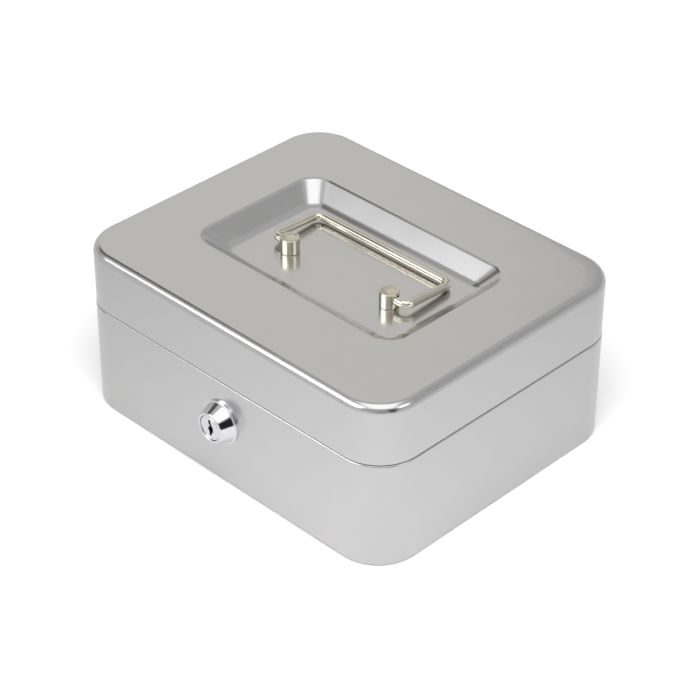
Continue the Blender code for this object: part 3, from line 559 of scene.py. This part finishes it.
def make_wire_handle(finish):
    """A round wire with two ends in the posts, two short arms and a long bar, bent in one plane."""
    low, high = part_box("carry_handle")
    pivot = handle_pivot()
    start = Vector((centre_of("handle_post_right").x + WIRE_END, 0, 0))
    bend_x = high.x - WIRE_RADIUS - WIRE_BEND_RADIUS
    reach = (high.y - WIRE_RADIUS) - pivot.y
    near, far = WIRE_BEND_RADIUS, reach - WIRE_BEND_RADIUS
    drop = pivot.z - (low.z + WIRE_RADIUS)
    stub = X_AXIS * (bend_x - start.x)
    arm = Y_AXIS * (far - near)
    bar = X_AXIS * 2 * bend_x
    bm = bmesh.new()
    turn = Z_AXIS.rotation_difference(X_AXIS).to_matrix().to_4x4()
    circle = bmesh.ops.create_circle(bm, cap_ends=True, segments=32, radius=WIRE_RADIUS,
                                     matrix=Matrix.Translation(start) @ turn)["verts"]
    ring = list({edge for vert in circle for edge in vert.link_edges})
    for move, x, y in [(stub, bend_x, near), (arm, bend_x, far), (-bar, -bend_x, far), (-arm, -bend_x, near)]:
        ring = ring_along(bm, ring, move)
        ring = ring_round(bm, ring, Vector((x, y, 0)))
    ring = ring_along(bm, ring, stub)
    bmesh.ops.contextual_create(bm, geom=ring)
    droop = Matrix.Rotation(-math.atan2(drop, reach), 4, "X")
    bm.transform(Matrix.Translation(pivot) @ droop)
    handle = solid("wire_handle", bm)
    soften(handle, WIRE_EDGE, 3, 60)
    return dress(handle, finish, "handle", "nickel", "carry_handle")


def make_post(side, finish):
    """A turned post with a dished top and a cross hole for the wire's end."""
    low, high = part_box(f"handle_post_{side}")
    middle = (low + high) / 2
    foot = RECESS_FLOOR + POST_LIFT
    radius = POST_RADIUS
    profile = [(0, foot), (radius - POST_FOOT_EDGE, foot), (radius, foot + POST_FOOT_EDGE),
               (radius, high.z - POST_TOP_EDGE)]
    profile += arc((radius - POST_TOP_EDGE, high.z - POST_TOP_EDGE), POST_TOP_EDGE, 0, 90, 5)[1:]
    for step in range(DISH_STEPS):
        share = 1 - (step + 1) / DISH_STEPS
        profile.append(((radius - POST_TOP_EDGE) * share, high.z - POST_DISH * (1 - share * share)))
    post = turned(f"wire_post_{side}", profile, Vector((middle.x, middle.y, 0)), Z_AXIS, 80)
    outward = 1 if side == "right" else -1
    pivot = handle_pivot()
    wall = abs(middle.x) + WIRE_END - FIT_GAP
    bore_middle = Vector((outward * (wall + radius), pivot.y, pivot.z))
    bore = bars("wire_bore", [bore_middle], X_AXIS, WIRE_BORE_RADIUS, 2 * radius)
    thread_middle = Vector((middle.x, middle.y, foot + POST_THREAD_MIDDLE))
    thread = bars("thread_bore", [thread_middle], Z_AXIS, THREAD_RADIUS, POST_THREAD_LENGTH)
    combine(post, "DIFFERENCE", bore, thread)
    return dress(post, finish, "lid", "nickel", f"handle_post_{side}", sharp=35)


# Lock

BEZEL_FOOT_RADIUS = 11 * MM
BEZEL_RIM_RADIUS = 7.8 * MM
BEZEL_RIM_ROUND = 0.75 * MM
BEZEL_COUNTERBORE_RADIUS = 6.5 * MM
COUNTERBORE_DEPTH = 2.6 * MM
BARREL_RADIUS = 7.4 * MM
BARREL_BORE_RADIUS = 5.7 * MM
WALL_CLEARANCE = 0.05 * MM
PLUG_HEAD_RADIUS = 6.3 * MM
PLUG_HEAD_DEPTH = 1.5 * MM
PLUG_SHAFT_RADIUS = 5.4 * MM
PLUG_RISE = 0.35 * MM
BOSS_HALF = 3 * MM
WAFER_SLOT_HALF_WIDTH = 3.1 * MM
WAFER_SLOT_HALF_HEIGHT = 7 * MM
CAM_THREAD_MIDDLE = 1.8 * MM
CAM_THREAD_LENGTH = 7 * MM
KEYWAY_DEPTH = 12 * MM


def lock_axis():
    middle = centre_of("lock_housing")
    return Vector((middle.x, FRONT_Y, middle.z))


def make_lock_bezel(finish):
    """A truncated cone with a thin flange at its foot, a rounded rim and the barrel behind the wall."""
    low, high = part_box("lock_housing")
    face = low.y - FRONT_Y
    back = high.y - FRONT_Y
    foot, counterbore = BEZEL_FOOT_RADIUS, BEZEL_COUNTERBORE_RADIUS
    profile = [(counterbore, face + 0.55 * MM)]
    profile += arc((counterbore + 0.25 * MM, face + 0.25 * MM), 0.25 * MM, 180, 270, 3)
    profile += arc((BEZEL_RIM_RADIUS - BEZEL_RIM_ROUND, face + BEZEL_RIM_ROUND), BEZEL_RIM_ROUND, -85, -15, 7)
    profile += [(foot - 0.75 * MM, -1.55 * MM), (foot - 0.55 * MM, -1.3 * MM), (foot - 0.1 * MM, -1.25 * MM)]
    profile += arc((foot - 0.25 * MM, -1.0 * MM), 0.25 * MM, -60, 0, 3)
    profile += [(foot, -WALL_CLEARANCE), (BARREL_RADIUS, -WALL_CLEARANCE), (BARREL_RADIUS, back),
                (BARREL_BORE_RADIUS, back), (BARREL_BORE_RADIUS, face + COUNTERBORE_DEPTH),
                (counterbore, face + COUNTERBORE_DEPTH)]
    bezel = turned("lock_bezel", profile, lock_axis(), Y_AXIS, 96)
    return dress(bezel, finish, "box", "chrome", "lock_housing", sharp=28)


def keyway_points():
    """The zigzag keyway's outline, down its right side and up its left."""
    right = [(-1.1, 4.2), (0.1, 4.2), (0.4, 2.4), (1.8, 0.6), (1.9, -1.7), (1.0, -2.6), (0.8, -4.2)]
    left = [(-0.4, -4.2), (-0.5, -2.4), (-1.3, -0.9), (-1.4, 0.1), (-0.3, 0.5), (-0.5, 1.5), (-1.2, 2.6)]
    height = lock_axis().z
    return [(u * MM, height + v * MM) for u, v in right + left]


def make_plug(finish):
    """The round plug that turns in the barrel, with its zigzag keyway and a square end for the cam."""
    low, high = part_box("lock_plug")
    face = low.y - FRONT_Y - PLUG_RISE
    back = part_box("lock_housing")[1].y - FRONT_Y
    head = PLUG_HEAD_RADIUS
    profile = [(0, face), (head - 1.1 * MM, face), (head - 1.0 * MM, face + 0.12 * MM),
               (head - 0.85 * MM, face + 0.12 * MM), (head - 0.75 * MM, face)]
    profile += arc((head - 0.3 * MM, face + 0.3 * MM), 0.3 * MM, 270, 360, 4)
    profile += [(head, face + PLUG_HEAD_DEPTH), (PLUG_SHAFT_RADIUS, face + PLUG_HEAD_DEPTH),
                (PLUG_SHAFT_RADIUS, back), (0, back)]
    plug = turned("keyed_plug", profile, lock_axis(), Y_AXIS, 80)
    height = lock_axis().z
    boss = block("plug_boss", (-BOSS_HALF, FRONT_Y + back - OVERCUT, height - BOSS_HALF),
                 (BOSS_HALF, high.y, height + BOSS_HALF))
    combine(plug, "UNION", boss)
    tools = [plate("keyway", keyway_points(), low.y - OVERCUT, low.y + KEYWAY_DEPTH)]
    for index in range(1, 5):
        wafer_low, wafer_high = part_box(f"lock_wafer_{index}")
        corner = (-WAFER_SLOT_HALF_WIDTH, wafer_low.y - FIT_GAP, height - WAFER_SLOT_HALF_HEIGHT)
        far_corner = (WAFER_SLOT_HALF_WIDTH, wafer_high.y + FIT_GAP, height + WAFER_SLOT_HALF_HEIGHT)
        tools.append(block(f"wafer_slot_{index}", corner, far_corner))
    thread_middle = Vector((0, high.y - CAM_THREAD_MIDDLE, height))
    tools.append(bars("cam_thread", [thread_middle], Y_AXIS, THREAD_RADIUS, CAM_THREAD_LENGTH))
    combine(plug, "DIFFERENCE", *tools)
    return dress(plug, finish, "lock_cylinder", "chrome", "lock_plug", sharp=28)


# Small parts that keep their CAD outline and get their edges broken

def refined(name, node, finish, body, slot, edge, sharper_than=35):
    """A copy of a part with its flats made whole and its sharp edges rounded."""
    source = frame["nodes"][node]
    bm = bmesh.new()
    bm.from_mesh(source.data)
    bm.transform(source.matrix_world)
    bmesh.ops.remove_doubles(bm, verts=bm.verts, dist=MERGE_DISTANCE)
    bmesh.ops.dissolve_limit(bm, angle_limit=math.radians(0.5), verts=bm.verts, edges=bm.edges)
    piece = solid(name, bm)
    soften(piece, edge, 2, sharper_than)
    return dress(piece, finish, body, slot, node, sharp=50)


def make_hinges(finish):
    for side in ("left", "right"):
        refined(f"case_leaf_{side}", f"hinge_body_leaf_{side}", finish, "box", "zinc_plate", edge=0.1 * MM)
        refined(f"lid_leaf_{side}", f"hinge_lid_leaf_{side}", finish, "lid", "zinc_plate", edge=0.1 * MM)
        refined(f"rolled_pin_{side}", f"hinge_pin_{side}", finish, "box", "zinc_plate", edge=0.05 * MM)


def make_rivets(finish):
    for index in range(1, 5):
        refined(f"case_rivet_{index}", f"body_rivet_{index}", finish, "box", "zinc_plate", edge=0.05 * MM)
        refined(f"hinge_rivet_{index}", f"lid_rivet_{index}", finish, "lid", "zinc_plate", edge=0.05 * MM)


def make_lock_parts(zinc, brass):
    refined("barrel_nut", "lock_nut", zinc, "box", "zinc_plate", edge=0.25 * MM)
    refined("notched_strike", "lid_strike", zinc, "lid", "zinc_plate", edge=0.15 * MM)
    refined("hooked_cam", "lock_cam", zinc, "lock_cylinder", "zinc_plate", edge=0.15 * MM)
    refined("cam_screw", "lock_cam_screw", zinc, "lock_cylinder", "zinc_plate", edge=0.08 * MM)
    for index in range(1, 5):
        refined(f"wafer_{index}", f"lock_wafer_{index}", brass, "lock_cylinder", "wafer_brass",
                edge=0.06 * MM)


def make_post_fixings(finish):
    for side in ("left", "right"):
        refined(f"fixing_screw_{side}", f"post_screw_{side}", finish, "lid", "zinc_plate", edge=0.08 * MM)
        refined(f"fixing_washer_{side}", f"post_washer_{side}", finish, "lid", "zinc_plate", edge=0.08 * MM)


def make_tray(finish):
    refined("coin_insert", "coin_tray", finish, "tray", "black_plastic", edge=0.35 * MM, sharper_than=30)


# Stage, light and camera

# The veil's share of black rises from near the box's near corner to far from it
NEAR_POINT = Vector((120 * MM, -100 * MM, 0))
VEIL_START, VEIL_END = 50 * MM, 360 * MM
VEIL_NEAR, VEIL_FAR = 0.16, 0.45
VEIL_HEIGHT = 0.2 * MM

# How grey the room is, by the upward part of a direction
ROOM_LEVELS = [(0.0, 0.66), (0.12, 0.60), (0.30, 0.46), (0.48, 0.48), (0.80, 0.54)]

LIGHT_DISTANCE = 1.6


def direction_of(azimuth, elevation):
    """Azimuth 0 points to the front, and 90 to the right."""
    a, e = math.radians(azimuth), math.radians(elevation)
    return Vector((math.sin(a) * math.cos(e), -math.cos(a) * math.cos(e), math.sin(e)))


def softbox(name, azimuth, elevation, distance, width, height, brightness, colour=(1, 1, 1), mirrored=True,
            lights=True):
    """A rectangular light that looks at the box, as bright as brightness all over its face."""
    light = bpy.data.lights.new(name, "AREA")
    light.shape = "RECTANGLE"
    light.size = width
    light.size_y = height
    light.energy = brightness * math.pi * width * height
    light.color = colour
    lamp = bpy.data.objects.new(name, light)
    towards = direction_of(azimuth, elevation)
    lamp.location = towards * distance
    lamp.rotation_mode = "QUATERNION"
    lamp.rotation_quaternion = towards.to_track_quat("Z", "Y")
    lamp.visible_camera = False
    lamp.visible_glossy = mirrored
    lamp.visible_diffuse = lights
    collection().link(lamp)


def card(name, azimuth, elevation, distance, width, height, colour):
    """A matt card that faces the box, for the bright metal to mirror."""
    bm = bmesh.new()
    bmesh.ops.create_grid(bm, x_segments=1, y_segments=1, size=0.5)
    bmesh.ops.scale(bm, verts=bm.verts, vec=(width, height, 1))
    towards = direction_of(azimuth, elevation)
    turn = towards.to_track_quat("Z", "Y").to_matrix().to_4x4()
    bm.transform(Matrix.Translation(towards * distance) @ turn)
    mesh = bpy.data.meshes.new(name)
    bm.to_mesh(mesh)
    bm.free()
    mesh.materials.append(Finish(name, colour, 0.0, 1.0).material)
    made = bpy.data.objects.new(name, mesh)
    made.visible_camera = False
    made.visible_shadow = False
    made.visible_diffuse = False
    collection().link(made)


def sheet(name, half, height, material):
    bm = bmesh.new()
    bmesh.ops.create_grid(bm, x_segments=1, y_segments=1, size=half)
    bmesh.ops.translate(bm, verts=bm.verts, vec=(0, 0, height))
    mesh = bpy.data.meshes.new(name)
    bm.to_mesh(mesh)
    bm.free()
    mesh.materials.append(material)
    made = bpy.data.objects.new(name, mesh)
    collection().link(made)
    return made


def floor_shade():
    """A veil that dims the floor's mirror image with the distance from the box's near corner."""
    made = Finish("floor_shade", (0, 0, 0), 0.0, 1.0)
    away = made.add("ShaderNodeVectorMath", operation="DISTANCE")
    away.inputs[1].default_value = NEAR_POINT
    made.join(made.place.outputs["Object"], away.inputs[0])
    veil = made.add("ShaderNodeMixShader")
    clear = made.add("ShaderNodeBsdfTransparent")
    share = made.ranged(away.outputs["Value"], VEIL_NEAR, VEIL_FAR, VEIL_START, VEIL_END)
    made.join(share, veil.inputs["Fac"])
    made.join(clear.outputs["BSDF"], veil.inputs[1])
    made.join(made.shader.outputs["BSDF"], veil.inputs[2])
    made.join(veil.outputs["Shader"], made.tree.nodes["Material Output"].inputs["Surface"])
    return made.material


def make_floor():
    sheet("floor", 6, 0, Finish("pale_floor", (0.92, 0.92, 0.92), 0.0, 0.9).material)
    veil = sheet("floor_veil", 1.5, VEIL_HEIGHT, floor_shade())
    veil.visible_camera = False
    veil.visible_diffuse = False
    veil.visible_shadow = False


def make_room():
    """A grey room, brighter along the horizon and overhead."""
    world = bpy.data.worlds.new("studio")
    world.use_nodes = True
    tree = world.node_tree
    direction = tree.nodes.new("ShaderNodeTexCoord")
    split = tree.nodes.new("ShaderNodeSeparateXYZ")
    ramp = tree.nodes.new("ShaderNodeValToRGB")
    while len(ramp.color_ramp.elements) < len(ROOM_LEVELS):
        ramp.color_ramp.elements.new(0.5)
    for stop, (height, grey) in zip(ramp.color_ramp.elements, ROOM_LEVELS):
        stop.position = height
        stop.color = (grey, grey, grey * 1.02, 1)
    tree.links.new(direction.outputs["Generated"], split.inputs["Vector"])
    tree.links.new(split.outputs["Z"], ramp.inputs["Fac"])
    tree.links.new(ramp.outputs["Color"], tree.nodes["Background"].inputs["Color"])
    bpy.context.scene.world = world


def make_light():
    make_room()
    softbox("room_light", 44, 60, 4.0, 4.0, 3.2, 4.4, mirrored=False)
    softbox("front_light", -20, 37, LIGHT_DISTANCE, 1.1, 0.7, 3.6, lights=False)
    softbox("top_light", 50, 72, 1.4, 1.1, 1.4, 1.05, lights=False)
    softbox("window_light", -47, 34, LIGHT_DISTANCE, 0.34, 0.44, 1.3, (0.94, 0.98, 1.04), lights=False)
    softbox("right_light", 100, 38, LIGHT_DISTANCE, 0.6, 0.5, 1.8, lights=False)
    softbox("back_light", -116, 38, LIGHT_DISTANCE, 1.5, 1.3, 0.24, (1, 1, 0.86), lights=False)
    card("right_card", 70, 18, 1.0, 0.27, 0.72, (0.01, 0.01, 0.01))
    card("left_card", -89, 44, 1.0, 0.36, 0.48, (0.10, 0.085, 0.06))
    card("rear_card", 138, 43, 1.0, 0.34, 0.32, (0.44, 0.44, 0.43))
    card("camera_card", 46, 8, 1.0, 0.40, 0.30, (0.34, 0.34, 0.34))


CAMERA_AZIMUTH = 44.39
CAMERA_ELEVATION = 34.93
CAMERA_ROLL = 0.33
CAMERA_DISTANCE = 1079.6 * MM
CAMERA_TARGET = Vector((12.35 * MM, -10.38 * MM, 45 * MM))
CAMERA_LENS = 118.75


def make_camera():
    camera = bpy.data.cameras.new("camera")
    camera.lens = CAMERA_LENS
    camera.sensor_width = 36
    camera.clip_start = 0.05
    made = bpy.data.objects.new("camera", camera)
    back = direction_of(CAMERA_AZIMUTH, CAMERA_ELEVATION)
    right = Vector((math.cos(math.radians(CAMERA_AZIMUTH)), math.sin(math.radians(CAMERA_AZIMUTH)), 0))
    up = back.cross(right)
    roll = math.radians(CAMERA_ROLL)
    rolled_right = right * math.cos(roll) + up * math.sin(roll)
    rolled_up = up * math.cos(roll) - right * math.sin(roll)
    turn = Matrix((rolled_right, rolled_up, back)).transposed().to_4x4()
    made.matrix_world = Matrix.Translation(CAMERA_TARGET + back * CAMERA_DISTANCE) @ turn
    collection().link(made)
    bpy.context.scene.camera = made


# Assembly

def main():
    make_camera()
    make_floor()
    make_light()
    bpy.context.scene.view_settings.view_transform = "Standard"

    silver = silver_lacquer()
    nickel = warm_nickel()
    brushed = brushed_nickel()
    chrome = bright_chrome()
    zinc = zinc_plate()
    brass = wafer_brass()
    plastic = black_plastic()

    make_case_body(silver)
    make_lid(silver)
    make_wire_handle(nickel)
    for side in ("left", "right"):
        make_post(side, brushed)
    make_lock_bezel(chrome)
    make_plug(chrome)
    make_lock_parts(zinc, brass)
    make_post_fixings(zinc)
    make_hinges(zinc)
    make_rivets(zinc)
    make_tray(plastic)


main()
